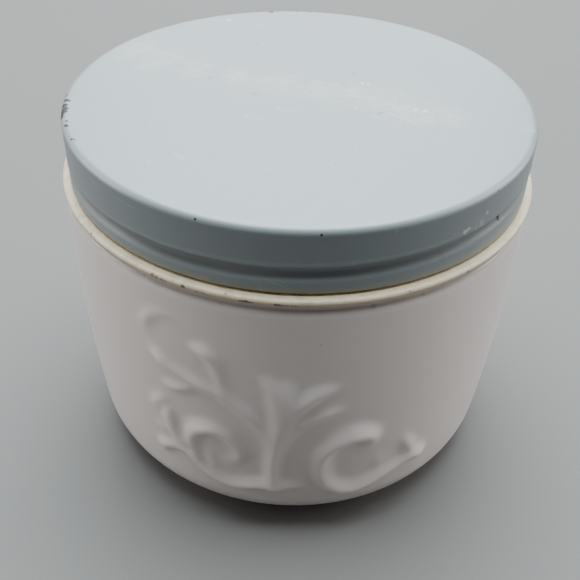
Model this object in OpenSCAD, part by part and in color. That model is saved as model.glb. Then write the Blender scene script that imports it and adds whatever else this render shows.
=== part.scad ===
// Screw-top cosmetic cream jar: an opal glass jar, a lacquered tinplate lid with a rolled
// thread, and the faced pulp-board liner that the lid presses onto the rim.
// Millimetres. The jar stands on z = 0 and every round part is centred on the Z axis.

/* [Jar] */
// Height of the closed jar, from the table to the top of the lid
total_h = 72; // [68:0.5:90]
// Widest radius of the side wall
body_r = 43.6; // [43.6:0.1:46]
// Height of the widest point of the side wall
body_r_z = 46; // [40:1:50]
// Radius of the side wall where the rounded heel begins
heel_r = 42.1; // [41:0.1:42.6]
// Width of the rounded heel, measured along a radius
heel_w = 12; // [8:0.5:15]
// Height at which the heel meets the side wall
heel_z = 10; // [7:0.5:12]
// Thickness of the glass in the side wall
glass_t = 4.3; // [3.5:0.1:5]
// Thickness of the glass over the hollow of the base
base_t = 4; // [3:0.5:5]
// Rise of the shallow hollow under the base
hollow_h = 1.6; // [1:0.1:2]

/* [Neck] */
// Radius of the mouth
mouth_r = 37.4; // [36:0.1:37.8]
// Radius of the neck between its threads
neck_r = 40.05; // [40:0.05:40.1]
// Radius over the crest of the glass thread
thread_r = 41.45; // [41.2:0.05:41.5]
// Rise of the thread in one turn
pitch = 5.08; // [4.9:0.02:5.2]
// Radius of the rounded bead under the neck
bead_r = 0.6; // [0.5:0.05:0.7]

/* [Lid] */
// Outer radius of the lid
lid_r = 42.3; // [42.3:0.1:42.6]
// Height of the lid
lid_h = 11.75; // [11.6:0.05:12]
// Thickness of the tinplate
tin_t = 0.25; // [0.2:0.05:0.3]
// Outer radius of the rounded top edge
lid_edge_r = 1.1; // [0.8:0.1:1.5]
// Depth of the thread rolled into the skirt
roll_depth = 1.3; // [1.1:0.1:1.35]
// Height of the rolled thread above the lid's lower edge, at the front
roll_z = 3.7; // [3.5:0.1:4]

/* [Liner] */
// Thickness of the pulp board
board_t = 1.2; // [1:0.1:1.4]
// Thickness of the waxed paper facing
facing_t = 0.15; // [0.1:0.05:0.2]
// Radius of the liner
liner_r = 41.15; // [41:0.05:41.15]

/* [Hidden] */
$fn = 96;

// Heights, from the top of the lid down.
lid_bottom_z = total_h - lid_h;
board_top_z = total_h - tin_t;
rim_z = board_top_z - board_t - facing_t;

// The bead's top stays clear of the lid's lower edge.
bead_gap = 0.25;
bead_z = lid_bottom_z - bead_gap - bead_r;
bead_centre_r = 43.1;

// The side wall is a shallow barrel: r = body_r - barrel_k * (z - body_r_z)^2.
barrel_k = (body_r - heel_r) / pow(body_r_z - heel_z, 2);
wall_top_z = bead_z - 2.9;
gutter_w = 0.8;
gutter_rise = 1.5;

// The heel is a quarter ellipse that carries on the slope of the side wall.
heel_slope = 2 * barrel_k * (body_r_z - heel_z);
heel_a0 = atan(heel_slope * heel_z / heel_w);
heel_rise = heel_z / (1 - sin(heel_a0));
foot_r = heel_r - heel_w * cos(heel_a0);
foot_w = 2.4;
foot_corner_r = 0.6;

// Inside of the jar.
floor_z = hollow_h + base_t;
floor_corner_r = 9;
shoulder_z = bead_z - 2.4;
rim_outer_r = 1.0;
rim_inner_r = 0.75;
cavity_top_z = shoulder_z - 5;

// Threads. Angle 0 is +X and the front is at -90. Both threads lie on right-hand helices
// of the same pitch, and the lid's runs just under the jar's.
front_a = -90;
step_a = 6;
fade_a = 24;
run_out = -0.05;
flank_gap = 0.06;
glass_root_w = 1.3;
glass_crest_w = 0.45;
roll_root_w = 1.3;
roll_crest_w = 0.42;
glass_from_a = -270;
glass_to_a = 110;
roll_from_a = -245;
roll_to_a = 95;
roll_crest_r = lid_r - tin_t - roll_depth;
roll_w_at_crest = roll_crest_w
    + (roll_root_w - roll_crest_w) * (thread_r - roll_crest_r) / roll_depth;
thread_offset = glass_crest_w + roll_w_at_crest + flank_gap;
hem_h = 1.0;
hem_t = 0.6;
embed = 0.5;

// Points of an arc round c, from angle a0 to a1, with semi-axes rx and ry.
function arc(c, rx, ry, a0, a1, n) =
    [for (i = [0 : n]) let (a = a0 + (a1 - a0) * i / n) [c[0] + rx * cos(a), c[1] + ry * sin(a)]];

// Radius of the side wall at a height.
function wall_r(z) = body_r - barrel_k * pow(z - body_r_z, 2);

// A wall sampled between two heights, set in by a distance.
function wall(z0, z1, inset, n) =
    [for (i = [0 : n]) let (z = z0 + (z1 - z0) * i / n) [wall_r(z) - inset, z]];

// Height of the centre of the rolled thread at an angle round the lid.
function roll_height(a) = lid_bottom_z + roll_z + pitch * (a - front_a) / 360;

// How far a thread has grown at an angle. It is 1 along its length, and at its ends it is a
// little under 0, so that the tooth runs out below the surface.
function grown(a, a0, a1) =
    let (s = min(1, (a - a0) / fade_a, (a1 - a) / fade_a)) run_out + (1 - run_out) * pow(sin(90 * s), 2);

// One ring of a thread: a rounded tooth that stands on root_r, reaches crest_r and starts at base_r.
function tooth(z, base_r, root_r, crest_r, root_w, crest_w, g) =
    let (
        depth = crest_r - root_r,
        tip = root_r + depth * g,
        shoulder = root_r + depth * g * 0.75,
        w = 0.45 + 0.55 * g,
        base_w = root_w + (root_w - crest_w) * abs((root_r - base_r) / depth),
        shoulder_w = crest_w + (root_w - crest_w) * 0.25
    )
    [
        [base_r, z - base_w * w], [shoulder, z - shoulder_w * w], [tip, z - crest_w * 0.6 * w],
        [tip, z + crest_w * 0.6 * w], [shoulder, z + shoulder_w * w], [base_r, z + base_w * w]
    ];

// A helical tooth swept between two angles.
module helix(a0, a1, z_shift, base_r, root_r, crest_r, root_w, crest_w) {
    rings = ceil((a1 - a0) / step_a);
    sides = 6;
    points = [
        for (i = [0 : rings])
            let (
                a = a0 + (a1 - a0) * i / rings,
                g = grown(a, a0, a1),
                ring = tooth(roll_height(a) + z_shift, base_r, root_r, crest_r, root_w, crest_w, g)
            )
            for (p = ring) [p[0] * cos(a), p[0] * sin(a), p[1]]
    ];
    side_faces = [
        for (i = [0 : rings - 1], j = [0 : sides - 1])
            let (k = (j + 1) % sides, b = i * sides, t = (i + 1) * sides)
            each [[b + j, b + k, t + k], [b + j, t + k, t + j]]
    ];
    start_face = [for (j = [sides - 1 : -1 : 0]) j];
    end_face = [for (j = [0 : sides - 1]) rings * sides + j];
    outward = concat(side_faces, [start_face, end_face]);
    inward = [for (f = outward) [for (i = [len(f) - 1 : -1 : 0]) f[i]]];
    polyhedron(points, crest_r > root_r ? outward : inward, convexity = 6);
}

module jar_outline() {
    polygon(concat(
        [[0, hollow_h], [foot_r - foot_w - 2.2, hollow_h]],
        arc([foot_r - foot_w + foot_corner_r, foot_corner_r], foot_corner_r, foot_corner_r, 200, 270, 5),
        arc([foot_r, heel_rise], heel_w, heel_rise, -90, -heel_a0, 20),
        wall(heel_z, wall_top_z, 0, 16),
        arc([wall_r(wall_top_z) - gutter_w, wall_top_z], gutter_w, gutter_rise, 8, 66, 6),
        arc([bead_centre_r, bead_z], bead_r, bead_r, -100, 100, 12),
        [[neck_r, bead_z + bead_r - 0.1], [neck_r, rim_z - rim_outer_r]],
        arc([neck_r - rim_outer_r, rim_z - rim_outer_r], rim_outer_r, rim_outer_r, 0, 90, 7),
        arc([mouth_r + rim_inner_r, rim_z - rim_inner_r], rim_inner_r, rim_inner_r, 90, 180, 6),
        [[mouth_r, shoulder_z]],
        wall(cavity_top_z, floor_z + floor_corner_r, glass_t, 10),
        arc([wall_r(floor_z + floor_corner_r) - glass_t - floor_corner_r, floor_z + floor_corner_r],
            floor_corner_r, floor_corner_r, -8, -90, 10),
        [[0, floor_z]]
    ));
}

module jar_body() {
    color("ivory") {
        rotate_extrude() jar_outline();
        helix(glass_from_a, glass_to_a, thread_offset,
            neck_r - embed, neck_r, thread_r, glass_root_w, glass_crest_w);
    }
}

// Outline of the drawn shell: flat top, rounded edge, straight skirt and a hem folded inwards.
module lid_outline() {
    inner_edge_r = lid_edge_r - tin_t;
    polygon(concat(
        [[0, total_h]],
        arc([lid_r - lid_edge_r, total_h - lid_edge_r], lid_edge_r, lid_edge_r, 90, 0, 8),
        arc([lid_r - hem_t / 2, lid_bottom_z + hem_t / 2], hem_t / 2, hem_t / 2, 0, -180, 8),
        [[lid_r - hem_t, lid_bottom_z + hem_h - 0.1], [lid_r - hem_t + 0.1, lid_bottom_z + hem_h]],
        [[lid_r - tin_t, lid_bottom_z + hem_h]],
        arc([lid_r - lid_edge_r, total_h - lid_edge_r], inner_edge_r, inner_edge_r, 0, 90, 8),
        [[0, total_h - tin_t]]
    ));
}

module lid_shell() {
    color("lightsteelblue") difference() {
        union() {
            rotate_extrude() lid_outline();
            helix(roll_from_a, roll_to_a, 0,
                lid_r - tin_t * 0.4, lid_r - tin_t, roll_crest_r, roll_root_w, roll_crest_w);
        }
        helix(roll_from_a, roll_to_a, 0,
            lid_r + embed, lid_r, lid_r - roll_depth, roll_root_w - 0.05, roll_crest_w - 0.17);
    }
}

module disc(r, z, t) {
    translate([0, 0, z]) cylinder(h = t, r = r);
}

module liner_board() {
    color("tan") disc(liner_r, board_top_z - board_t, board_t);
}

module liner_facing() {
    color("white") disc(liner_r, rim_z, facing_t);
}

jar_body();
lid_shell();
liner_board();
liner_facing();
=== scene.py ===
"""A screw-top cosmetic cream jar: an opal glass jar, and a lined lid of lacquered tinplate."""
import math

import bpy
from mathutils import Matrix, Vector


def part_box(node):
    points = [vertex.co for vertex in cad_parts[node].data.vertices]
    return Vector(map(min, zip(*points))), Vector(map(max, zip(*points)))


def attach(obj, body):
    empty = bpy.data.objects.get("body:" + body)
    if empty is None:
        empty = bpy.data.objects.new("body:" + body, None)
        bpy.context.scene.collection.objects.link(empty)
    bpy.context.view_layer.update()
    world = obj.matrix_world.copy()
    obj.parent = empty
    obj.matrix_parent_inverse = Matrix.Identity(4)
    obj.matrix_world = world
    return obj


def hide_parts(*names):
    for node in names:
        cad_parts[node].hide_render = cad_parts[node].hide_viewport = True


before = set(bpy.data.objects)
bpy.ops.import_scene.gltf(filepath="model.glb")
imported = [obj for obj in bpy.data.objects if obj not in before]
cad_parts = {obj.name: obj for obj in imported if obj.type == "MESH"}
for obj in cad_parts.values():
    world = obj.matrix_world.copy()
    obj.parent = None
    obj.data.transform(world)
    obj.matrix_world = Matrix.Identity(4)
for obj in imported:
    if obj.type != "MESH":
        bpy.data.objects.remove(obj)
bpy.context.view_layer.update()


# ---------------------------------------------------------------------------------------
# The jar: one piece of opal glass, pressed in a mould that also forms the scrolls on its
# side, the half-round bead under the neck and the screw thread, then fire-polished soft.
# ---------------------------------------------------------------------------------------

mm = 0.001
rim_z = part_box("jar_body")[1].z / mm
body_r = 43.6
body_r_z = 46
heel_top_r = 42.1
heel_z = 10
heel_w = 12
barrel = (body_r - heel_top_r) / (body_r_z - heel_z) ** 2
glass = 4.3
neck_r = 40.05
mouth_r = 37.4
bead_z = 59.4
bead_centre_r = 43.1
bead_r = 0.6
gutter_w = 0.8
gutter_rise = 1.5
shoulder_z = bead_z - 2.4
hollow_z = 1.6
floor_z = 5.6
floor_round = 9
foot_round = 0.6
rim_round = 1
mouth_round = 0.75


def arc(centre, rx, ry, start, end, n):
    """Points in mm round a centre, from one angle in degrees to another."""
    angles = [math.radians(start + (end - start) * i / n) for i in range(n + 1)]
    return [(centre[0] + rx * math.cos(a), centre[1] + ry * math.sin(a)) for a in angles]


def line(start, end, n):
    """Points in mm along a straight line, without the last."""
    return [tuple(s + (e - s) * i / n for s, e in zip(start, end)) for i in range(n)]


def wall(z0, z1, inset, n):
    """Points in mm up the barrel-shaped side wall."""
    heights = [z0 + (z1 - z0) * i / n for i in range(n + 1)]
    return [(body_r - barrel * (z - body_r_z) ** 2 - inset, z) for z in heights]


heel_start = math.degrees(math.atan(2 * barrel * (body_r_z - heel_z) * heel_z / heel_w))
heel_rise = heel_z / (1 - math.sin(math.radians(heel_start)))
foot_r = heel_top_r - heel_w * math.cos(math.radians(heel_start))
inner_r = wall(floor_z + floor_round, floor_z + floor_round, glass, 1)[0][0]
wall_top_r, wall_top_z = wall(bead_z - 2.9, bead_z - 2.9, 0, 1)[0]

jar_profile = (
    line((0, hollow_z), (foot_r - 4.6, hollow_z), 4)
    + arc((foot_r - 1.8, foot_round), foot_round, foot_round, 200, 270, 4)
    + arc((foot_r, heel_rise), heel_w, heel_rise, -90, -heel_start, 20)
    + wall(heel_z, wall_top_z, 0, 84)[1:]
    + arc((wall_top_r - gutter_w, wall_top_z), gutter_w, gutter_rise, 8, 66, 8)
    + line((wall_top_r - 0.5, wall_top_z + gutter_rise), (bead_centre_r - 0.15, bead_z - 0.65), 3)
    + arc((bead_centre_r, bead_z), bead_r, bead_r, -100, 100, 14)
    + line((neck_r + 0.35, bead_z + bead_r - 0.05), (neck_r, bead_z + bead_r + 0.3), 2)
    + line((neck_r, bead_z + bead_r + 0.3), (neck_r, rim_z - rim_round), 34)
    + arc((neck_r - rim_round, rim_z - rim_round), rim_round, rim_round, 0, 90, 5)
    + arc((mouth_r + mouth_round, rim_z - mouth_round), mouth_round, mouth_round, 90, 180, 5)
    + line((mouth_r, rim_z - 1.5), (mouth_r, shoulder_z), 4)
    + [(mouth_r, shoulder_z), (mouth_r + 0.3, shoulder_z - 1), (mouth_r + 1.3, shoulder_z - 3.2)]
    + wall(shoulder_z - 5, floor_z + floor_round, glass, 8)
    + arc((inner_r - floor_round, floor_z + floor_round), floor_round, floor_round, -8, -90, 10)
    + line((inner_r - 12, floor_z), (0, floor_z), 4)
    + [(0, floor_z)]
)


def new_tree(name, sockets):
    """A Geometry Nodes tree with a geometry in and out and the named inputs."""
    tree = bpy.data.node_groups.new(name, "GeometryNodeTree")
    tree.interface.new_socket("Geometry", in_out="INPUT", socket_type="NodeSocketGeometry")
    for label, kind in sockets:
        tree.interface.new_socket(label, in_out="INPUT", socket_type="NodeSocket" + kind)
    tree.interface.new_socket("Geometry", in_out="OUTPUT", socket_type="NodeSocketGeometry")
    return tree


def node(tree, kind, inputs=None, **settings):
    """Adds a node, sets its settings, and sets or links its inputs by name or number."""
    made = tree.nodes.new(kind)
    for key, value in settings.items():
        setattr(made, key, value)
    for key, value in (inputs or {}).items():
        if isinstance(value, bpy.types.NodeSocket):
            tree.links.new(value, made.inputs[key])
        else:
            made.inputs[key].default_value = value
    return made


def calc(tree, operation, a, b=0.0, c=0.0):
    """One Math node, and its result."""
    made = node(tree, "ShaderNodeMath", operation=operation)
    for socket, value in zip(made.inputs, (a, b, c)):
        if isinstance(value, bpy.types.NodeSocket):
            tree.links.new(value, socket)
        else:
            socket.default_value = value
    return made.outputs[0]


def shape(piece, tree, **values):
    """Runs a tree on a piece and keeps the result as its plain mesh."""
    modifier = piece.modifiers.new(tree.name, "NODES")
    modifier.node_group = tree
    for socket in tree.interface.items_tree:
        key = socket.name.lower().replace(" ", "_")
        if socket.in_out == "INPUT" and key in values:
            modifier[socket.identifier] = values[key]
    piece.update_tag()
    depsgraph = bpy.context.evaluated_depsgraph_get()
    depsgraph.update()
    mesh = bpy.data.meshes.new_from_object(piece.evaluated_get(depsgraph))
    piece.modifiers.clear()
    piece.data = mesh
    return piece


def outline(name, points):
    """A piece that holds only its profile: a chain of points at radius X and height Z."""
    mesh = bpy.data.meshes.new(name)
    chain = [(r * mm, 0, z * mm) for r, z in points]
    mesh.from_pydata(chain, [(i, i + 1) for i in range(len(chain) - 1)], [])
    piece = bpy.data.objects.new(name, mesh)
    bpy.context.scene.collection.objects.link(piece)
    return piece


# The wheel: a grid whose rows take the profile's points and whose columns go once round.
wheel = new_tree("Turned on a wheel", [("Steps Around", "Int"), ("Material", "Material")])
enter = node(wheel, "NodeGroupInput")
count = node(wheel, "GeometryNodeAttributeDomainSize", {"Geometry": enter.outputs["Geometry"]})
columns = calc(wheel, "ADD", enter.outputs["Steps Around"], 1)
grid = node(wheel, "GeometryNodeMeshGrid", {
    "Vertices X": columns, "Vertices Y": count.outputs["Point Count"]})
index = node(wheel, "GeometryNodeInputIndex").outputs[0]
column = calc(wheel, "FLOOR", calc(
    wheel, "DIVIDE", calc(wheel, "ADD", index, 0.5), count.outputs["Point Count"]))
row = calc(wheel, "SUBTRACT", index, calc(
    wheel, "MULTIPLY", column, count.outputs["Point Count"]))
place = node(wheel, "GeometryNodeSampleIndex", {
    "Geometry": enter.outputs["Geometry"], "Index": row}, data_type="FLOAT_VECTOR")
wheel.links.new(node(wheel, "GeometryNodeInputPosition").outputs[0], place.inputs["Value"])
turn = calc(wheel, "MULTIPLY", calc(
    wheel, "DIVIDE", column, enter.outputs["Steps Around"]), 2 * math.pi)
turned = node(wheel, "ShaderNodeVectorRotate", {
    "Vector": place.outputs["Value"], "Angle": turn}, rotation_type="Z_AXIS")
spun = node(wheel, "GeometryNodeSetPosition", {
    "Geometry": grid.outputs["Mesh"], "Position": turned.outputs[0]})
share = calc(wheel, "DIVIDE", row, calc(wheel, "SUBTRACT", count.outputs["Point Count"], 1))
kept = node(wheel, "GeometryNodeStoreNamedAttribute", {
    "Geometry": spun.outputs[0], "Name": "profile", "Value": share}, data_type="FLOAT")
closed = node(wheel, "GeometryNodeMergeByDistance", {
    "Geometry": kept.outputs[0], "Distance": 0.002 * mm})
smooth = node(wheel, "GeometryNodeSetShadeSmooth", {"Geometry": closed.outputs[0]})
real = node(wheel, "GeometryNodeRealizeInstances", {"Geometry": smooth.outputs[0]})
coated = node(wheel, "GeometryNodeSetMaterial", {
    "Geometry": real.outputs[0], "Material": enter.outputs["Material"]})
node(wheel, "NodeGroupOutput", {"Geometry": coated.outputs[0]})

# Line work cut into a mould: lines drawn flat become rounded ridges, and the turned wall
# takes their height. Flat X is the way round the wall from the front, flat Y the height.
line_work = new_tree("Line work on a wall", [
    ("Lines", "Object"), ("Wall Radius", "Float"), ("Repeats", "Int"), ("Height", "Float"),
    ("Lean", "Float"), ("Softening", "Int"), ("Inner Limit", "Float"), ("Low Limit", "Float"),
    ("High Limit", "Float"), ("Material", "Material")])
enter = node(line_work, "NodeGroupInput")
drawn = node(line_work, "GeometryNodeObjectInfo", {"Object": enter.outputs["Lines"]})
strokes = node(line_work, "GeometryNodeMeshToCurve", {"Mesh": drawn.outputs["Geometry"]})
flowing = node(line_work, "GeometryNodeCurveSplineType", {
    "Curve": strokes.outputs[0]}, spline_type="CATMULL_ROM")
even = node(line_work, "GeometryNodeResampleCurve", {
    "Curve": flowing.outputs[0], "Length": 0.3 * mm}, mode="LENGTH")
width = node(line_work, "GeometryNodeInputNamedAttribute", {"Name": "half_width"})
across = node(line_work, "GeometryNodeMeshLine", {
    "Count": 17, "Start Location": (-1, 0, 0), "Offset": (0.125, 0, 0)})
at = node(line_work, "ShaderNodeSeparateXYZ", {
    "Vector": node(line_work, "GeometryNodeInputPosition").outputs[0]})
crown = calc(line_work, "POWER", calc(
    line_work, "SUBTRACT", 1, calc(line_work, "POWER", at.outputs["X"], 2)), 1.2)
lifted = node(line_work, "ShaderNodeCombineXYZ", {"Y": calc(
    line_work, "MULTIPLY", crown, calc(line_work, "MULTIPLY", enter.outputs["Height"], -1))})
section = node(line_work, "GeometryNodeMeshToCurve", {"Mesh": node(
    line_work, "GeometryNodeSetPosition", {
        "Geometry": across.outputs[0], "Offset": lifted.outputs[0]}).outputs[0]})
ridges = node(line_work, "GeometryNodeCurveToMesh", {
    "Curve": even.outputs[0], "Profile Curve": section.outputs[0],
    "Scale": width.outputs["Attribute"]})
crest = node(line_work, "ShaderNodeSeparateXYZ", {
    "Vector": node(line_work, "GeometryNodeInputPosition").outputs[0]})
drop = node(line_work, "ShaderNodeCombineXYZ", {"Y": calc(
    line_work, "MULTIPLY", crest.outputs["Z"], calc(
        line_work, "MULTIPLY", enter.outputs["Lean"], -1))})
leaning = node(line_work, "GeometryNodeSetPosition", {
    "Geometry": ridges.outputs[0], "Offset": drop.outputs[0]})
round_wall = calc(line_work, "MULTIPLY", enter.outputs["Wall Radius"], 2 * math.pi)
every = calc(line_work, "DIVIDE", round_wall, enter.outputs["Repeats"])
join = node(line_work, "GeometryNodeJoinGeometry")
for side in (-1, 0, 1):
    step = node(line_work, "ShaderNodeCombineXYZ", {
        "X": calc(line_work, "MULTIPLY", round_wall, side)})
    moved = node(line_work, "GeometryNodeTransform", {
        "Geometry": leaning.outputs[0], "Translation": step.outputs[0]})
    line_work.links.new(moved.outputs[0], join.inputs[0])
here = node(line_work, "ShaderNodeSeparateXYZ", {
    "Vector": node(line_work, "GeometryNodeInputPosition").outputs[0]})
angle = calc(line_work, "ARCTAN2", here.outputs["X"], calc(
    line_work, "MULTIPLY", here.outputs["Y"], -1))
along = calc(line_work, "WRAP", calc(
    line_work, "MULTIPLY", angle, enter.outputs["Wall Radius"]),
    calc(line_work, "MULTIPLY", every, 0.5), calc(line_work, "MULTIPLY", every, -0.5))
above = node(line_work, "ShaderNodeCombineXYZ", {"X": along, "Y": here.outputs["Z"], "Z": 1.0})
feel = node(line_work, "GeometryNodeRaycast", {
    "Target Geometry": join.outputs[0], "Source Position": above.outputs[0],
    "Ray Direction": (0, 0, -1), "Ray Length": 2.0})
high = node(line_work, "ShaderNodeSeparateXYZ", {"Vector": feel.outputs["Hit Position"]})
raw = calc(line_work, "MULTIPLY", high.outputs["Z"], feel.outputs["Is Hit"])
soft = node(line_work, "GeometryNodeBlurAttribute", {
    "Value": raw, "Iterations": enter.outputs["Softening"]}, data_type="FLOAT")
flat = node(line_work, "ShaderNodeVectorMath", {
    0: node(line_work, "GeometryNodeInputPosition").outputs[0], 1: (1, 1, 0)},
    operation="MULTIPLY")
out = node(line_work, "ShaderNodeVectorMath", {0: flat.outputs[0]}, operation="NORMALIZE")
far = node(line_work, "ShaderNodeVectorMath", {0: flat.outputs[0]}, operation="LENGTH")


def between(tree, value, low, high):
    """1 between two limits, easing to 0 over a quarter of a millimetre past each."""
    rise = node(tree, "ShaderNodeMapRange", {
        "Value": value, "From Min": calc(tree, "SUBTRACT", low, 0.25 * mm), "From Max": low},
        interpolation_type="SMOOTHSTEP")
    fall = node(tree, "ShaderNodeMapRange", {
        "Value": value, "From Min": high, "From Max": calc(tree, "ADD", high, 0.25 * mm),
        "To Min": 1.0, "To Max": 0.0}, interpolation_type="SMOOTHSTEP")
    return calc(tree, "MULTIPLY", rise.outputs[0], fall.outputs[0])


allowed = calc(line_work, "MULTIPLY", between(
    line_work, here.outputs["Z"], enter.outputs["Low Limit"], enter.outputs["High Limit"]),
    calc(line_work, "GREATER_THAN", far.outputs["Value"], enter.outputs["Inner Limit"]))
push = node(line_work, "ShaderNodeVectorMath", {
    0: out.outputs[0]}, operation="SCALE")
line_work.links.new(calc(line_work, "MULTIPLY", soft.outputs[0], allowed), push.inputs["Scale"])
pressed = node(line_work, "GeometryNodeSetPosition", {
    "Geometry": enter.outputs["Geometry"], "Offset": push.outputs[0]})
real = node(line_work, "GeometryNodeRealizeInstances", {"Geometry": pressed.outputs[0]})
coated = node(line_work, "GeometryNodeSetMaterial", {
    "Geometry": real.outputs[0], "Material": enter.outputs["Material"]})
node(line_work, "NodeGroupOutput", {"Geometry": coated.outputs[0]})


def drawing(name, strokes):
    """Lines drawn flat, in mm: the way round, the height and the half-width at each point."""
    points = [p for stroke in strokes for p in stroke]
    edges = []
    first = 0
    for stroke in strokes:
        edges += [(first + i, first + i + 1) for i in range(len(stroke) - 1)]
        first += len(stroke)
    mesh = bpy.data.meshes.new(name)
    mesh.from_pydata([(x * mm, z * mm, 0) for x, z, w in points], edges, [])
    widths = mesh.attributes.new("half_width", "FLOAT", "POINT")
    widths.data.foreach_set("value", [w * mm for x, z, w in points])
    made = bpy.data.objects.new(name, mesh)
    bpy.context.scene.collection.objects.link(made)
    return made


def ground(name, sockets, outs):
    """A shader node group with named number inputs, each with its usual value."""
    group = bpy.data.node_groups.new(name, "ShaderNodeTree")
    for label, value in sockets:
        made = group.interface.new_socket(label, in_out="INPUT", socket_type="NodeSocketFloat")
        made.default_value = value
    for label in outs:
        group.interface.new_socket(label, in_out="OUTPUT", socket_type="NodeSocketFloat")
    enter = node(group, "NodeGroupInput")
    place = node(group, "ShaderNodeTexCoord").outputs["Object"]
    return group, enter.outputs, place


def cloud(tree, place, scale, detail=3.0, rough=0.55):
    """Noise over a piece, around a half."""
    made = node(tree, "ShaderNodeTexNoise", {
        "Vector": place, "Scale": scale, "Detail": detail, "Roughness": rough})
    return made.outputs[0]


def step_up(tree, value, low, high):
    """0 below the low value, 1 above the high one."""
    made = node(tree, "ShaderNodeMapRange", {
        "Value": value, "From Min": low, "From Max": high}, interpolation_type="SMOOTHSTEP")
    return made.outputs[0]


# Uneven colour and polish, as cloudy patches of two sizes.
mottle, size, place = ground("Mottle", [("Patch Scale", 60.0), ("Contrast", 2.0)], ["Amount"])
patches = calc(mottle, "ADD", calc(mottle, "MULTIPLY", cloud(mottle, place, size[0]), 0.7), calc(
    mottle, "MULTIPLY", cloud(mottle, place, calc(mottle, "MULTIPLY", size[0], 5.3)), 0.3))
centred = calc(mottle, "MULTIPLY", calc(mottle, "SUBTRACT", patches, 0.5), size[1])
made = node(mottle, "NodeGroupOutput", {0: calc(mottle, "ADD", centred, 0.5)})
made.inputs[0].default_value = 0.5

# A band of height round the piece, with a ragged edge.
band, size, place = ground("Band", [
    ("Low", 0.0), ("High", 1.0), ("Fade", 0.001), ("Raggedness", 0.0005), ("Grain Scale", 400.0),
    ("Outside Radius", 0.0)], ["Mask"])
height = node(band, "ShaderNodeSeparateXYZ", {"Vector": place}).outputs["Z"]
ragged = calc(band, "MULTIPLY", calc(band, "SUBTRACT", cloud(band, place, size[4]), 0.5), size[3])
height = calc(band, "ADD", height, ragged)
rise = step_up(band, height, calc(band, "SUBTRACT", size[0], size[2]), size[0])
fall = step_up(band, height, size[1], calc(band, "ADD", size[1], size[2]))
level = node(band, "ShaderNodeVectorMath", {0: place, 1: (1, 1, 0)}, operation="MULTIPLY")
reach = node(band, "ShaderNodeVectorMath", {0: level.outputs[0]}, operation="LENGTH")
beyond = calc(band, "GREATER_THAN", reach.outputs["Value"], size[5])
made = node(band, "NodeGroupOutput", {0: calc(band, "MULTIPLY", beyond, calc(
    band, "MULTIPLY", rise, calc(band, "SUBTRACT", 1, fall)))})

# Chips and scuffs with broken edges, from how near a point is to the marked places.
marked, size, place = ground("Marked Places", [
    ("Near", 5.0), ("Spread", 1.0), ("Break Up", 1.4), ("Grain Scale", 1500.0)], ["Mask"])
broken = calc(marked, "MULTIPLY", calc(
    marked, "SUBTRACT", cloud(marked, place, size[3], 4, 0.7), 0.5), size[2])
edge = calc(marked, "ADD", size[0], broken)
made = node(marked, "NodeGroupOutput", {0: calc(marked, "SUBTRACT", 1, step_up(
    marked, edge, calc(marked, "MULTIPLY", size[1], 0.75), size[1]))})

# Scattered specks: a dot in some of the cells, each of its own size.
specks, size, place = ground("Specks", [
    ("Cell Scale", 300.0), ("Dot Size", 0.1), ("Share", 0.1)], ["Mask"])
cells = node(specks, "ShaderNodeTexVoronoi", {"Vector": place, "Scale": size[0]})
lot = node(specks, "ShaderNodeSeparateColor", {"Color": cells.outputs["Color"]})
chosen = calc(specks, "LESS_THAN", lot.outputs[0], size[2])
reach = calc(specks, "MULTIPLY", size[1], calc(specks, "ADD", lot.outputs[1], 0.4))
dot = calc(specks, "SUBTRACT", 1, step_up(
    specks, cells.outputs["Distance"], calc(specks, "MULTIPLY", reach, 0.6), reach))
made = node(specks, "NodeGroupOutput", {0: calc(specks, "MULTIPLY", dot, chosen)})

# Hair-thin scratches: where a drawn-out noise crosses its middle value.
scratches, size, place = ground("Scratches", [
    ("Scale", 30.0), ("Width", 0.01), ("Angle", 0.5), ("Amount", 0.3)], ["Mask"])
swung = node(scratches, "ShaderNodeVectorRotate", {
    "Vector": place, "Angle": size[2]}, rotation_type="Z_AXIS")
drawn = node(scratches, "ShaderNodeVectorMath", {
    0: swung.outputs[0], 1: (1, 9, 4)}, operation="MULTIPLY")
ridge = calc(scratches, "ABSOLUTE", calc(scratches, "SUBTRACT", cloud(
    scratches, drawn.outputs[0], size[0], 1), 0.5))
thin = calc(scratches, "SUBTRACT", 1, step_up(scratches, ridge, 0, size[1]))
some = step_up(scratches, cloud(scratches, place, calc(
    scratches, "MULTIPLY", size[0], 3.0)), 0.55, 0.6)
made = node(scratches, "NodeGroupOutput", {0: calc(
    scratches, "MULTIPLY", calc(scratches, "MULTIPLY", thin, some), size[3])})


def finish(name, color, roughness, **values):
    """A material with its Principled shader; returns it, its tree and the shader."""
    made = bpy.data.materials.new(name)
    made.use_nodes = True
    surface = made.node_tree.nodes["Principled BSDF"]
    surface.inputs["Base Color"].default_value = (*color, 1)
    surface.inputs["Roughness"].default_value = roughness
    for key, value in values.items():
        surface.inputs[key.replace("_", " ")].default_value = value
    return made, made.node_tree, surface


def use(tree, group, **values):
    """Places a shader group with its own values and gives its output."""
    named = {key.replace("_", " "): value for key, value in values.items()}
    return node(tree, "ShaderNodeGroup", named, node_tree=group).outputs[0]


def tint(tree, base, color, mask, strength=1.0):
    """Lays a colour over another where the mask is, or a base colour to start with."""
    made = node(tree, "ShaderNodeMix", data_type="RGBA")
    for socket, value in ((made.inputs[6], base), (made.inputs[7], color)):
        if isinstance(value, bpy.types.NodeSocket):
            tree.links.new(value, socket)
        else:
            socket.default_value = (*value, 1)
    tree.links.new(calc(tree, "MULTIPLY", mask, strength), made.inputs[0])
    return made.outputs[2]


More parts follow.
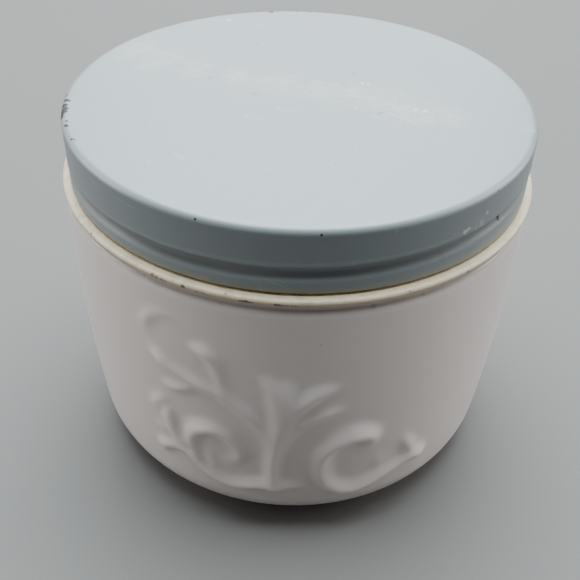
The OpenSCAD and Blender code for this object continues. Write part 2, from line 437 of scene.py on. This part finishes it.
def at(angle, radius, height, size):
    """A marked place, from its angle, radius and height in mm, and its size in mm."""
    turn = math.radians(angle)
    return (radius * math.cos(turn), radius * math.sin(turn), height, size)


def marks(tree, spots):
    """How near a point is to the nearest marked place, counted in that mark's own size."""
    place = node(tree, "ShaderNodeTexCoord").outputs["Object"]
    near = 5.0
    for x, y, z, size in spots:
        apart = node(tree, "ShaderNodeVectorMath", {
            0: place, 1: (x * mm, y * mm, z * mm)}, operation="DISTANCE")
        near = calc(tree, "MINIMUM", near, calc(
            tree, "DIVIDE", apart.outputs["Value"], size * mm))
    return near


opal_cool = (0.605, 0.532, 0.50)
opal_warm = (0.635, 0.577, 0.555)
ivory_stain = (0.60, 0.50, 0.34)
soil = (0.34, 0.28, 0.21)
seam_highlight_pale = (0.70, 0.66, 0.67)
grime_and_shade = (0.16, 0.12, 0.08)
rust_and_shade = (0.09, 0.045, 0.015)
scuff_dark = (0.03, 0.03, 0.035)
scuff_brown = (0.14, 0.08, 0.05)
# The stains, and the bands of painted shade and painted highlight, are kept to the outside of the
# glass by the radius that they start from.
outer_skin = 41 * mm
neck_skin = 39 * mm

opal, tree, surface = finish(
    "opal_glass", (0.64, 0.59, 0.56), 0.3, Subsurface_Weight=0.36, Subsurface_Scale=0.004,
    Subsurface_Radius=(1.0, 0.85, 0.7), IOR=1.5)
place = node(tree, "ShaderNodeTexCoord").outputs["Object"]
patchy = use(tree, mottle, Patch_Scale=45.0, Contrast=1.6)
color = tint(tree, opal_cool, opal_warm, patchy)
bead_mask = use(
    tree, band, Low=(bead_z - 0.2) * mm, High=(bead_z + 0.7) * mm, Fade=0.2 * mm,
    Raggedness=0.15 * mm, Outside_Radius=outer_skin)
color = tint(tree, color, ivory_stain, bead_mask, 0.9)
# Brown grime over the bead's underside and the gutter below it, darkened further as painted shade
# under the bead.
gutter_grime_and_shade = use(
    tree, band, Low=(bead_z - 1.5) * mm, High=(bead_z - 0.1) * mm, Fade=0.8 * mm,
    Raggedness=0.4 * mm, Outside_Radius=outer_skin)
color = tint(tree, color, grime_and_shade, gutter_grime_and_shade, 0.44)
soiled = calc(tree, "MULTIPLY", bead_mask, step_up(
    tree, cloud(tree, place, 420.0, 5, 0.7), 0.47, 0.62))
color = tint(tree, color, soil, soiled, 0.4)
# A pale line along the shoulder edge under the bead: a painted highlight, laid along the mould
# seam.
seam_highlight = use(
    tree, band, Low=(bead_z - 3) * mm, High=(bead_z - 2.7) * mm, Fade=0.35 * mm,
    Raggedness=0.0, Outside_Radius=outer_skin)
color = tint(tree, color, seam_highlight_pale, seam_highlight, 0.3)
# A rust-brown band on the neck under the lid: rust stain and painted shade in the gap under the
# lid.
under_lid_rust_and_shade = use(
    tree, band, Low=(bead_z + 0.75) * mm, High=(bead_z + 1.6) * mm, Fade=0.1 * mm,
    Raggedness=0.15 * mm, Outside_Radius=neck_skin)
color = tint(tree, color, rust_and_shade, under_lid_rust_and_shade, 0.6)
# Darkened along the foot where it stands on the table: grime and painted contact shade.
foot_grime_and_shade = use(tree, band, Low=-1 * mm, High=0.0, Fade=0.5 * mm, Raggedness=0.6 * mm)
color = tint(tree, color, grime_and_shade, foot_grime_and_shade, 0.4)
bead_chips = marks(tree, [
    at(-100.4, 43.6, 59.15, 0.32), at(-99.8, 43.6, 59.15, 0.42), at(-99.2, 43.6, 59.15, 0.45),
    at(-98.6, 43.6, 59.1, 0.36), at(-98, 43.6, 59.1, 0.3), at(-93.2, 43.6, 59.15, 0.42),
    at(-92.6, 43.6, 59.1, 0.36), at(-91.9, 43.6, 59.1, 0.28), at(-91, 43.6, 59.1, 0.26),
    at(-90.1, 43.6, 59.1, 0.24), at(-89.4, 43.6, 59.1, 0.22), at(-112.6, 43.6, 59.45, 0.4),
    at(-51, 43.7, 59.2, 0.4), at(-140, 43.5, 59.7, 0.3), at(40, 43.6, 59.4, 0.4),
    at(75, 43.6, 59.2, 0.3), at(122, 43.6, 59.5, 0.45), at(160, 43.6, 59.4, 0.4)])
scuffed = use(tree, marked, Near=bead_chips, Break_Up=1.8, Grain_Scale=2500.0)
color = tint(tree, color, scuff_dark, scuffed, 0.85)
browned_at = marks(tree, [
    at(-120, 43.6, 59.5, 0.4), at(-119, 43.6, 59.4, 0.35), at(-117.6, 43.6, 59.3, 0.4),
    at(-116.8, 43.6, 59.2, 0.3), at(-109.6, 43.6, 59.1, 0.35), at(-108.2, 43.6, 59.1, 0.3),
    at(-103.5, 43.4, 60, 0.25), at(-66, 43.6, 59.8, 0.2), at(28, 43.6, 59.5, 0.4)])
browned = use(tree, marked, Near=browned_at, Break_Up=1.6, Grain_Scale=2500.0)
color = tint(tree, color, scuff_brown, browned, 0.7)
specked = use(tree, specks, Cell_Scale=220.0, Dot_Size=0.06, Share=0.02)
color = tint(tree, color, grime_and_shade, specked, 0.3)
crumbs = calc(tree, "MULTIPLY", gutter_grime_and_shade, use(
    tree, specks, Cell_Scale=900.0, Dot_Size=0.4, Share=0.12))
color = tint(tree, color, grime_and_shade, crumbs, 0.3)
tree.links.new(color, surface.inputs["Base Color"])
worn = calc(tree, "ADD", calc(tree, "MULTIPLY", patchy, 0.08), calc(
    tree, "ADD", calc(tree, "MULTIPLY", bead_mask, 0.15), 0.28))
tree.links.new(worn, surface.inputs["Roughness"])
uneven = node(tree, "ShaderNodeBump", {
    "Strength": 0.05, "Distance": 0.6 * mm, "Height": cloud(tree, place, 120.0, 2)})
tree.links.new(uneven.outputs[0], surface.inputs["Normal"])

scrolls = drawing("scrolls", [
    # right-hand scroll, from the hook inside it to the leaf at its end
    [(14.5, 24.0, 0.5), (15.2, 25.5, 1.2), (14.8, 27.8, 1.8), (13, 29, 2.2), (10.5, 28.8, 2.3),
     (8, 27, 2.2), (6.3, 24.5, 2.1), (5.7, 21.3, 2), (6.2, 18, 2), (7.7, 15.2, 2.1),
     (10, 13.5, 2.3), (13, 13, 2.2), (16, 13.8, 2), (19, 15, 1.8), (22, 16.2, 1.6),
     (24.4, 17.3, 1.8), (26, 17, 2), (27.1, 15.6, 1.4), (27.4, 14.2, 0.6)],
    [(8.2, 17, 0.8), (7.6, 19.4, 0.8), (8, 21.7, 0.7), (9.4, 23.5, 0.4)],
    [(16.2, 21.7, 0.2), (17, 20.2, 0.5), (17.4, 18.6, 0.7), (17.2, 17, 0.5)],
    [(21.6, 24.3, 0.3), (22.5, 22.8, 0.9), (23.5, 21, 1.2), (24.3, 19, 1.3), (24.8, 17.5, 1.2)],
    # the two fronds to the right of the stem
    [(-1.5, 25, 0.8), (-0.8, 29.4, 1), (0.2, 33.2, 1.1), (1.5, 36.5, 1.4), (3.2, 39, 1.6),
     (5.2, 40.6, 1.4), (7, 41.2, 0.8), (7.8, 41.2, 0.3)],
    [(-1.3, 24, 0.8), (0, 28.7, 0.9), (1.5, 31.5, 1), (3.4, 33.7, 1.2), (5.7, 35.2, 1.3),
     (7.7, 35.7, 0.9), (8.8, 35.5, 0.3)],
    # the stem, and the split frond it grows into
    [(-2.1, 14, 2.4), (-2.4, 17, 2.1), (-2.5, 21, 1.9), (-2.3, 25, 1.7), (-2, 29, 1.6),
     (-1.8, 33, 1.5), (-1.9, 36.4, 1.6), (-2.3, 39.4, 1.5), (-3, 41.7, 1.2), (-4, 43.2, 0.6),
     (-4.4, 43.7, 0.3)],
    [(-1.3, 24, 0.8), (-0.9, 29, 1.2), (-0.5, 33, 1.4), (-0.3, 37, 1.5), (-0.3, 40.4, 1.3),
     (-0.4, 43.2, 0.6)],
    # the long fronds to the left
    [(-3.2, 26, 0.8), (-4.2, 29.7, 1), (-6.2, 33.2, 1.2), (-8.7, 35.8, 1.2), (-11.6, 37.8, 1.2),
     (-14.6, 39, 1.3), (-17.6, 39.8, 1.2), (-20.6, 40.7, 1.3), (-22.8, 42, 1.5),
     (-24.2, 43.5, 0.6)],
    [(-12.8, 37.7, 0.6), (-15.4, 38, 0.8), (-17.6, 37.5, 1.1), (-19.7, 36.5, 1.3),
     (-21.4, 36, 1.1), (-22.5, 36.5, 0.4)],
    [(-9, 35.5, 0.6), (-10.3, 37.4, 0.9), (-11.2, 40, 1), (-11.8, 42.7, 1.1), (-12.4, 45.2, 1.3),
     (-13.7, 47, 1.5), (-15.3, 47.2, 1.2), (-16.3, 46.8, 0.4)],
    [(-25, 46, 0.3), (-25.7, 48, 0.7), (-24.8, 50, 0.9), (-23, 51.5, 0.7), (-20.7, 52.3, 0.4),
     (-18.4, 52.2, 0.2)],
    # left-hand scroll: the ribbon under it, its curl, and the leaf tips outside it
    [(-25.2, 15, 0.4), (-25, 17, 1.4), (-23.2, 18.6, 1.4), (-20.8, 19.2, 1.2), (-18.6, 18.3, 1.3),
     (-16.5, 16.5, 1.5), (-14, 14.8, 1.8), (-11.4, 13.8, 1.9), (-8.6, 13.8, 1.9),
     (-5.8, 14.6, 1.9), (-3, 15, 1.9), (-0.4, 14.9, 1.6), (2.2, 14.5, 1.1), (4, 14.4, 0.5)],
    [(-17, 17.4, 1.2), (-17.7, 20.4, 1.2), (-18, 23.4, 1.5), (-17.2, 26.2, 1.9), (-15.4, 28, 2),
     (-13, 28.7, 1.8), (-10.7, 27.5, 1.5), (-9.2, 25, 1.3), (-8.5, 22.7, 1.2), (-9, 21, 1),
     (-10.3, 20.5, 0.8), (-11.5, 21, 0.3)],
    [(-13.8, 23, 0.3), (-14.5, 21, 0.7), (-14.3, 18.7, 0.8), (-13.2, 16.7, 0.9)],
    [(-25.2, 26.3, 0.4), (-25.5, 28.3, 0.9), (-24.6, 30.2, 1.1), (-23, 31.5, 0.7),
     (-22, 32.2, 0.3)],
    [(-25.5, 23.5, 0.3), (-24.7, 22.7, 0.8), (-23.8, 21.3, 0.7), (-23, 20, 0.6)],
    [(-19.5, 21, 1.2), (-21.4, 23.4, 1.5), (-22.5, 27, 1.5), (-22.5, 30, 1)],
])
pitch = 5.08
thread_z = 65.35
thread = drawing("thread", [[
    (math.radians(a) * neck_r, thread_z + pitch * a / 360, 0.3 if a in (-180, 200) else 1.25)
    for a in (-180, -156, -120, -60, 0, 60, 120, 176, 200)]])

jar = outline("opal_jar", jar_profile)
shape(jar, wheel, steps_around=432, material=opal)
shape(jar, line_work, lines=scrolls, wall_radius=43.0 * mm, repeats=2, height=0.68, lean=0.8,
      softening=3, inner_limit=41.0 * mm, low_limit=8 * mm, high_limit=54.5 * mm, material=opal)
shape(jar, line_work, lines=thread, wall_radius=neck_r * mm, repeats=1, height=1.1, lean=0.0,
      softening=1, inner_limit=39.9 * mm, low_limit=60.6 * mm, high_limit=69.2 * mm,
      material=opal)
for drawn in (scrolls, thread):
    bpy.data.objects.remove(drawn)
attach(jar, "jar")
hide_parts("jar_body")


# ---------------------------------------------------------------------------------------
# The liner: a disc of pressed pulp board with a thin facing of waxed paper glued to its
# underside. It is pressed into the lid, and the jar's rim leaves its ring in the facing.
# ---------------------------------------------------------------------------------------

board_low, board_high = (corner.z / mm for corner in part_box("liner_board"))
facing_low, facing_high = (corner.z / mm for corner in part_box("liner_facing"))
liner_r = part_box("liner_board")[1].x / mm
board_round = 0.2
pulp_dark = (0.22, 0.165, 0.11)
pulp_pale = (0.36, 0.29, 0.21)
pulp_fleck = (0.10, 0.07, 0.04)

pulp, tree, surface = finish("pulp_board", (0.3, 0.23, 0.16), 0.9)
fibres = use(tree, mottle, Patch_Scale=900.0, Contrast=2.5)
color = tint(tree, pulp_dark, pulp_pale, fibres)
flecked = use(tree, specks, Cell_Scale=900.0, Dot_Size=0.3, Share=0.2)
color = tint(tree, color, pulp_fleck, flecked, 0.6)
tree.links.new(color, surface.inputs["Base Color"])
rough = node(tree, "ShaderNodeBump", {"Strength": 0.5, "Distance": 0.1 * mm, "Height": fibres})
tree.links.new(rough.outputs[0], surface.inputs["Normal"])
board = outline("pulp_disc", (
    line((0, board_low), (liner_r - board_round, board_low), 12)
    + arc((liner_r - board_round, board_low + board_round), board_round, board_round, -90, 0, 3)
    + line((liner_r, board_low + 0.3), (liner_r, board_high - 0.3), 3)
    + arc((liner_r - board_round, board_high - board_round), board_round, board_round, 0, 90, 3)
    + line((liner_r - 0.4, board_high), (0, board_high), 6) + [(0, board_high)]))
shape(board, wheel, steps_around=192, material=pulp)
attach(board, "liner")
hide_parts("liner_board")

wax_dark = (0.58, 0.53, 0.42)
wax_pale = (0.68, 0.64, 0.54)
ring_brown = (0.30, 0.20, 0.10)
wax_spot = (0.36, 0.26, 0.14)
waxed, tree, surface = finish("waxed_paper", (0.62, 0.57, 0.46), 0.38, Coat_Weight=0.25)
soaked = use(tree, mottle, Patch_Scale=70.0, Contrast=3.0)
color = tint(tree, wax_dark, wax_pale, soaked)
place = node(tree, "ShaderNodeTexCoord").outputs["Object"]
level = node(tree, "ShaderNodeVectorMath", {0: place, 1: (1, 1, 0)}, operation="MULTIPLY")
reach = node(tree, "ShaderNodeVectorMath", {0: level.outputs[0]}, operation="LENGTH")
in_mm = calc(tree, "MULTIPLY", reach.outputs["Value"], 1 / mm)
wobble = calc(tree, "ADD", in_mm, calc(tree, "MULTIPLY", cloud(tree, place, 160.0), 1.6))
ring = calc(tree, "MULTIPLY", step_up(tree, wobble, 37.8, 38.6), calc(
    tree, "SUBTRACT", 1, step_up(tree, wobble, 40.4, 41.0)))
color = tint(tree, color, ring_brown, ring, 0.55)
spotted = use(tree, specks, Cell_Scale=170.0, Dot_Size=0.22, Share=0.25)
color = tint(tree, color, wax_spot, spotted, 0.5)
tree.links.new(color, surface.inputs["Base Color"])
cockle = node(tree, "ShaderNodeBump", {
    "Strength": 0.25, "Distance": 0.5 * mm, "Height": cloud(tree, place, 90.0)})
tree.links.new(cockle.outputs[0], surface.inputs["Normal"])
pressed = [(37.7, facing_low + 0.01), (38.2, facing_low + 0.05), (39.6, facing_low + 0.05),
           (39.9, facing_low + 0.01)]
facing = outline("paper_facing", (
    line((0, facing_low), (37.5, facing_low), 12) + pressed
    + line((40.2, facing_low), (liner_r - 0.05, facing_low), 3)
    + [(liner_r - 0.05, facing_low), (liner_r, facing_low + 0.05), (liner_r, facing_high - 0.03),
       (liner_r - 0.03, facing_high)]
    + line((liner_r - 0.6, facing_high), (0, facing_high), 4) + [(0, facing_high)]))
shape(facing, wheel, steps_around=192, material=waxed)
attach(facing, "liner")
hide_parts("liner_facing")


# ---------------------------------------------------------------------------------------
# The lid: tinplate drawn to a flat-topped cap, with a thread rolled into its skirt and the
# lower edge folded in to a hem. It is lacquered pale blue-grey outside and bare tin inside.
# ---------------------------------------------------------------------------------------

lid_low, lid_high = (corner.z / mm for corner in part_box("lid_shell"))
lid_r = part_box("lid_shell")[1].x / mm
tin = 0.25
edge = 1.1
hem = 0.3
hem_h = 1
roll_z = lid_low + 3.7
lid_profile = (
    line((0, lid_high - tin), (lid_r - edge, lid_high - tin), 12)
    + arc((lid_r - edge, lid_high - edge), edge - tin, edge - tin, 90, 0, 6)
    + line((lid_r - tin, lid_high - 1.4), (lid_r - tin, lid_low + hem_h), 34)
    + [(lid_r - tin, lid_low + hem_h), (lid_r - 2 * hem + 0.1, lid_low + hem_h),
       (lid_r - 2 * hem, lid_low + hem_h - 0.1)]
    + arc((lid_r - hem, lid_low + hem), hem, hem, -180, 0, 8)
    + line((lid_r, lid_low + 2 * hem), (lid_r, lid_high - edge), 38)
    + arc((lid_r - edge, lid_high - edge), edge, edge, 0, 90, 9)
    + line((lid_r - edge - 0.6, lid_high), (0, lid_high), 24) + [(0, lid_high)]
)


def on_lid(spots):
    """Marked places on the flat top, from their X, Y and size in mm."""
    return [(x, y, lid_high, size) for x, y, size in spots]


lacquer_blue = (0.170, 0.194, 0.201)
lacquer_pale = (0.184, 0.203, 0.215)
smear_buff = (0.40, 0.41, 0.36)
fleck_pale = (0.6, 0.6, 0.56)
scratch_pale = (0.40, 0.42, 0.43)
scratch_dark = (0.12, 0.13, 0.14)
varnish_yellow_and_reflection = (0.26, 0.23, 0.11)
groove_shade_color = (0.09, 0.085, 0.07)
hem_rust_and_shade_color = (0.03, 0.018, 0.008)
dent_grey = (0.07, 0.07, 0.07)
bare_black = (0.008, 0.005, 0.005)
tin_bright = (0.55, 0.54, 0.50)
tin_dull = (0.45, 0.40, 0.30)

lacquer, tree, surface = finish("lacquered_tinplate", (0.19, 0.22, 0.23), 0.4, IOR=1.5)
place = node(tree, "ShaderNodeTexCoord").outputs["Object"]
patchy = use(tree, mottle, Patch_Scale=45.0, Contrast=2.6)
color = tint(tree, lacquer_blue, lacquer_pale, patchy)

# The dried smear across the top, broken into blotches.
on_top = use(
    tree, band, Low=(lid_high - 0.2) * mm, High=(lid_high + 5) * mm, Fade=0.1 * mm,
    Raggedness=0.0)
smear_at = marks(tree, on_lid([
    (-33, 18, 5), (-27, 14, 6), (-20, 10, 5), (-12, 7, 4), (-4, 5, 5),
    (3, 3, 5), (9, 1, 6), (15, -1, 6), (21, -4, 6), (26, -6, 4)]))
frayed = calc(tree, "MULTIPLY", calc(
    tree, "SUBTRACT", cloud(tree, place, 260.0, 6, 0.7), 0.5), 3.0)
smear = calc(tree, "MULTIPLY", on_top, calc(tree, "SUBTRACT", 1, step_up(
    tree, calc(tree, "ADD", smear_at, frayed), 0.2, 1.3)))
blotches = step_up(tree, cloud(tree, place, 900.0, 5, 0.75), 0.45, 0.6)
smear = calc(tree, "MULTIPLY", smear, calc(
    tree, "ADD", calc(tree, "MULTIPLY", blotches, 0.65), 0.35))
color = tint(tree, color, smear_buff, smear, 0.4)

# Pale flecks and hair scratches in the lacquer.
flecks_at = marks(tree, on_lid([
    (11.5, 6, 0.5), (12.6, 5.6, 0.4), (20.5, -4, 0.5), (22.2, -4.4, 0.4),
    (-16, 35, 0.7), (-8, 23, 0.35)]) + [
    at(-52.3, 42.3, 66.7, 0.5), at(-51.3, 42.3, 66.9, 0.35), at(-45.8, 42.3, 68.2, 0.4)])
pale = use(tree, marked, Near=flecks_at, Break_Up=2.4, Grain_Scale=1200.0)
color = tint(tree, color, fleck_pale, pale, 0.45)
for scratch, scale, angle in ((scratch_pale, 26.0, 0.6), (scratch_dark, 38.0, -1.0)):
    scratched = use(tree, scratches, Scale=scale, Width=0.006, Angle=angle, Amount=0.35)
    color = tint(tree, color, scratch, scratched)

# Yellowed lacquer above the hem, with a painted reflection of the cream bead in it; painted shade
# in the rolled groove; and rust on the hem itself, darkened as painted shade of the gap under the
# lid.
yellowed_and_reflection = use(
    tree, band, Low=(lid_low - 1) * mm, High=(lid_low + 0.3) * mm, Fade=0.9 * mm,
    Raggedness=0.6 * mm)
color = tint(tree, color, varnish_yellow_and_reflection, yellowed_and_reflection, 0.6)
level = node(tree, "ShaderNodeVectorMath", {0: place, 1: (1, 1, 0)}, operation="MULTIPLY")
reach = node(tree, "ShaderNodeVectorMath", {0: level.outputs[0]}, operation="LENGTH")
on_side = use(
    tree, band, Low=(lid_low + hem_h) * mm, High=(lid_high - 1.6) * mm, Fade=0.2 * mm,
    Raggedness=0.0)
# Darkened where the skirt is rolled in below its surface: painted shade in the groove.
groove_shade = calc(tree, "MULTIPLY", on_side, calc(tree, "SUBTRACT", 1, step_up(
    tree, reach.outputs["Value"], (lid_r - 0.5) * mm, (lid_r - 0.1) * mm)))
color = tint(tree, color, groove_shade_color, groove_shade, 0.35)
# Rust on the hem, darkened further as painted shade of the gap between the lid and the bead.
hem_rust_and_gap_shade = use(
    tree, band, Low=(lid_low - 1) * mm, High=(lid_low + 0.22) * mm, Fade=0.1 * mm,
    Raggedness=0.25 * mm)
color = tint(tree, color, hem_rust_and_shade_color, hem_rust_and_gap_shade, 0.95)

# Chips down to the blackened tinplate, most of them round the edge, and small dents.
rim_chips = marks(tree, [
    at(-176, 41.9, 71.6, 0.5), at(-173, 41.6, 71.8, 0.6), at(-172.5, 41.0, 72, 0.35),
    at(-170.5, 41.8, 71.7, 0.9), at(-168.5, 41.6, 71.8, 0.9), at(-167, 41.8, 71.7, 0.9),
    at(-165.5, 42.1, 71.3, 0.9), at(-162, 41.3, 72, 0.3), at(-160, 41.5, 71.9, 0.4),
    at(-159.4, 41.3, 71.9, 0.35), at(-153, 41.5, 71.9, 0.35), at(-152.4, 41.1, 72, 0.25),
    at(-178, 42.2, 71.2, 0.6), at(100, 41.4, 71.95, 0.7), at(92, 41.6, 71.9, 0.5),
    at(88, 41.6, 71.9, 0.5), at(-110, 42.2, 71.5, 0.3), at(-85, 42.3, 71.2, 0.18),
    at(-38.9, 42.15, 64.7, 0.7), at(-39.5, 42.1, 64.9, 0.45), at(60, 42.3, 66.0, 0.6),
    at(140, 42.2, 71.5, 0.8)])
chipped = use(tree, marked, Near=rim_chips, Break_Up=2.0, Grain_Scale=1300.0)
dents = marks(tree, on_lid([
    (-8.5, 0, 0.5), (-8, -0.6, 0.3), (-17, 6, 0.4), (14, -6, 0.5), (14.6, -5.5, 0.35),
    (10, 10, 0.4), (2, 1.5, 0.3), (-26, -12, 0.3), (6, -24, 0.3), (-14, -22, 0.3)]))
dented = use(tree, marked, Near=dents, Break_Up=2.6, Grain_Scale=2200.0)
color = tint(tree, color, dent_grey, dented, 0.5)
flecks = use(tree, specks, Cell_Scale=260.0, Dot_Size=0.06, Share=0.02)
bare = calc(tree, "MAXIMUM", chipped, flecks)
color = tint(tree, color, bare_black, bare, 0.97)

# The profile runs from the middle of the inside to the middle of the outside. The inside
# is bare tin with spots of rust.
along = node(tree, "ShaderNodeAttribute", attribute_name="profile").outputs["Fac"]
outside = calc(tree, "GREATER_THAN", along, 0.45)
tarnish = use(tree, mottle, Patch_Scale=180.0, Contrast=3.0)
tin_color = tint(tree, tin_bright, tin_dull, tarnish)
spotted = use(tree, specks, Cell_Scale=350.0, Dot_Size=0.3, Share=0.12)
tin_color = tint(tree, tin_color, rust_and_shade, spotted, 0.7)
color = tint(tree, tin_color, color, outside)
tree.links.new(color, surface.inputs["Base Color"])
inside = calc(tree, "SUBTRACT", 1, outside)
tree.links.new(calc(tree, "MULTIPLY", inside, 0.9), surface.inputs["Metallic"])
dull = calc(tree, "ADD", calc(tree, "MULTIPLY", patchy, 0.10), calc(
    tree, "ADD", calc(tree, "MULTIPLY", calc(tree, "MAXIMUM", bare, hem_rust_and_gap_shade), 0.3), 0.34))
dull = calc(tree, "ADD", dull, calc(tree, "MULTIPLY", smear, 0.15))
tree.links.new(dull, surface.inputs["Roughness"])
film = calc(tree, "SUBTRACT", calc(tree, "MULTIPLY", cloud(tree, place, 300.0, 2), 0.15), bare)
orange_peel = node(tree, "ShaderNodeBump", {
    "Strength": 0.12, "Distance": 0.25 * mm, "Height": film})
tree.links.new(orange_peel.outputs[0], surface.inputs["Normal"])

# The rolled groove winds a little under once round the skirt, with a fine lip over it.
roll_line = drawing("roll_line", [[
    (math.radians(a) * lid_r, roll_z + pitch * a / 360, 0.3 if a in (-155, 185) else 1.25)
    for a in (-155, -131, -90, -45, 0, 45, 90, 135, 161, 185)]])
lip_line = drawing("lip_line", [[
    (math.radians(a) * lid_r, roll_z + 1.6 + pitch * a / 360, 0.2 if a in (-150, 180) else 0.5)
    for a in (-150, -131, -90, -45, 0, 45, 90, 135, 161, 180)]])
lid = outline("tin_lid", lid_profile)
shape(lid, wheel, steps_around=432, material=lacquer)
for lines, height, lean, softening in ((roll_line, -0.6, 0.7, 1), (lip_line, 0.12, 0.0, 0)):
    shape(lid, line_work, lines=lines, wall_radius=lid_r * mm, repeats=1, height=height,
          lean=lean, softening=softening, inner_limit=(lid_r - 0.35) * mm,
          low_limit=(lid_low + 1.1) * mm, high_limit=(lid_high - 1.6) * mm, material=lacquer)
for drawn in (roll_line, lip_line):
    bpy.data.objects.remove(drawn)
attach(lid, "lid")
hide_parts("lid_shell")


# ---------------------------------------------------------------------------------------
# The studio: a pale paper table, a large soft light overhead, one behind, one at each side
# and a faint one in front. The camera looks down at the front of the jar.
# ---------------------------------------------------------------------------------------

table_mesh = bpy.data.meshes.new("table")
table_mesh.from_pydata(
    [(-0.45, -0.4, 0), (0.45, -0.4, 0), (0.45, 0.6, 0), (-0.45, 0.6, 0)], [], [(0, 1, 2, 3)])
table = bpy.data.objects.new("table", table_mesh)
bpy.context.scene.collection.objects.link(table)
paper = finish("pale_table", (0.115, 0.111, 0.107), 0.8)[0]
table_mesh.materials.append(paper)


def softbox(name, place, aim, size, power, color):
    """A square area light that faces a point."""
    lamp = bpy.data.lights.new(name, "AREA")
    lamp.size = size
    lamp.energy = power
    lamp.color = color
    made = bpy.data.objects.new(name, lamp)
    made.location = place
    made.rotation_euler = (Vector(aim) - Vector(place)).to_track_quat("-Z", "Y").to_euler()
    bpy.context.scene.collection.objects.link(made)


softbox("overhead", (0, 0.26, 1.0), (0, 0.05, 0), 1.0, 50, (0.87, 0.965, 1))
softbox("back", (0, 1.0, 0.75), (0, 0, 0.05), 0.8, 13, (0.90, 0.965, 1))
softbox("front", (-0.25, -0.6, 0.15), (0, 0, 0.03), 0.3, 0.22, (1, 0.98, 0.96))
softbox("left", (-0.85, 0.1, 0.3), (0, 0, 0.03), 0.6, 6.5, (1, 0.99, 0.98))
softbox("right", (0.85, 0.18, 0.35), (0, 0, 0.05), 0.6, 8, (1, 0.99, 0.98))
world = bpy.data.worlds.new("room")
bpy.context.scene.world = world
world.use_nodes = True
world.node_tree.nodes["Background"].inputs["Color"].default_value = (0.04, 0.04, 0.045, 1)

heading, tilt, roll = (math.radians(a) for a in (-0.31, 39.51, 1.88))
eye = Vector((0, -0.1334, 0.1363))
ahead = Vector((
    math.sin(heading) * math.cos(tilt), math.cos(heading) * math.cos(tilt), -math.sin(tilt)))
level = ahead.cross(Vector((0, 0, 1))).normalized()
upright = level.cross(ahead)
right = level * math.cos(roll) + upright * math.sin(roll)
up = upright * math.cos(roll) - level * math.sin(roll)
view = bpy.data.objects.new("camera", bpy.data.cameras.new("camera"))
view.data.sensor_width = 36
view.data.lens = 49.35
view.data.clip_start = 0.01
turned = Matrix((right, up, -ahead)).transposed()
view.matrix_world = Matrix.Translation(eye) @ turned.to_4x4()
bpy.context.scene.collection.objects.link(view)
bpy.context.scene.camera = view
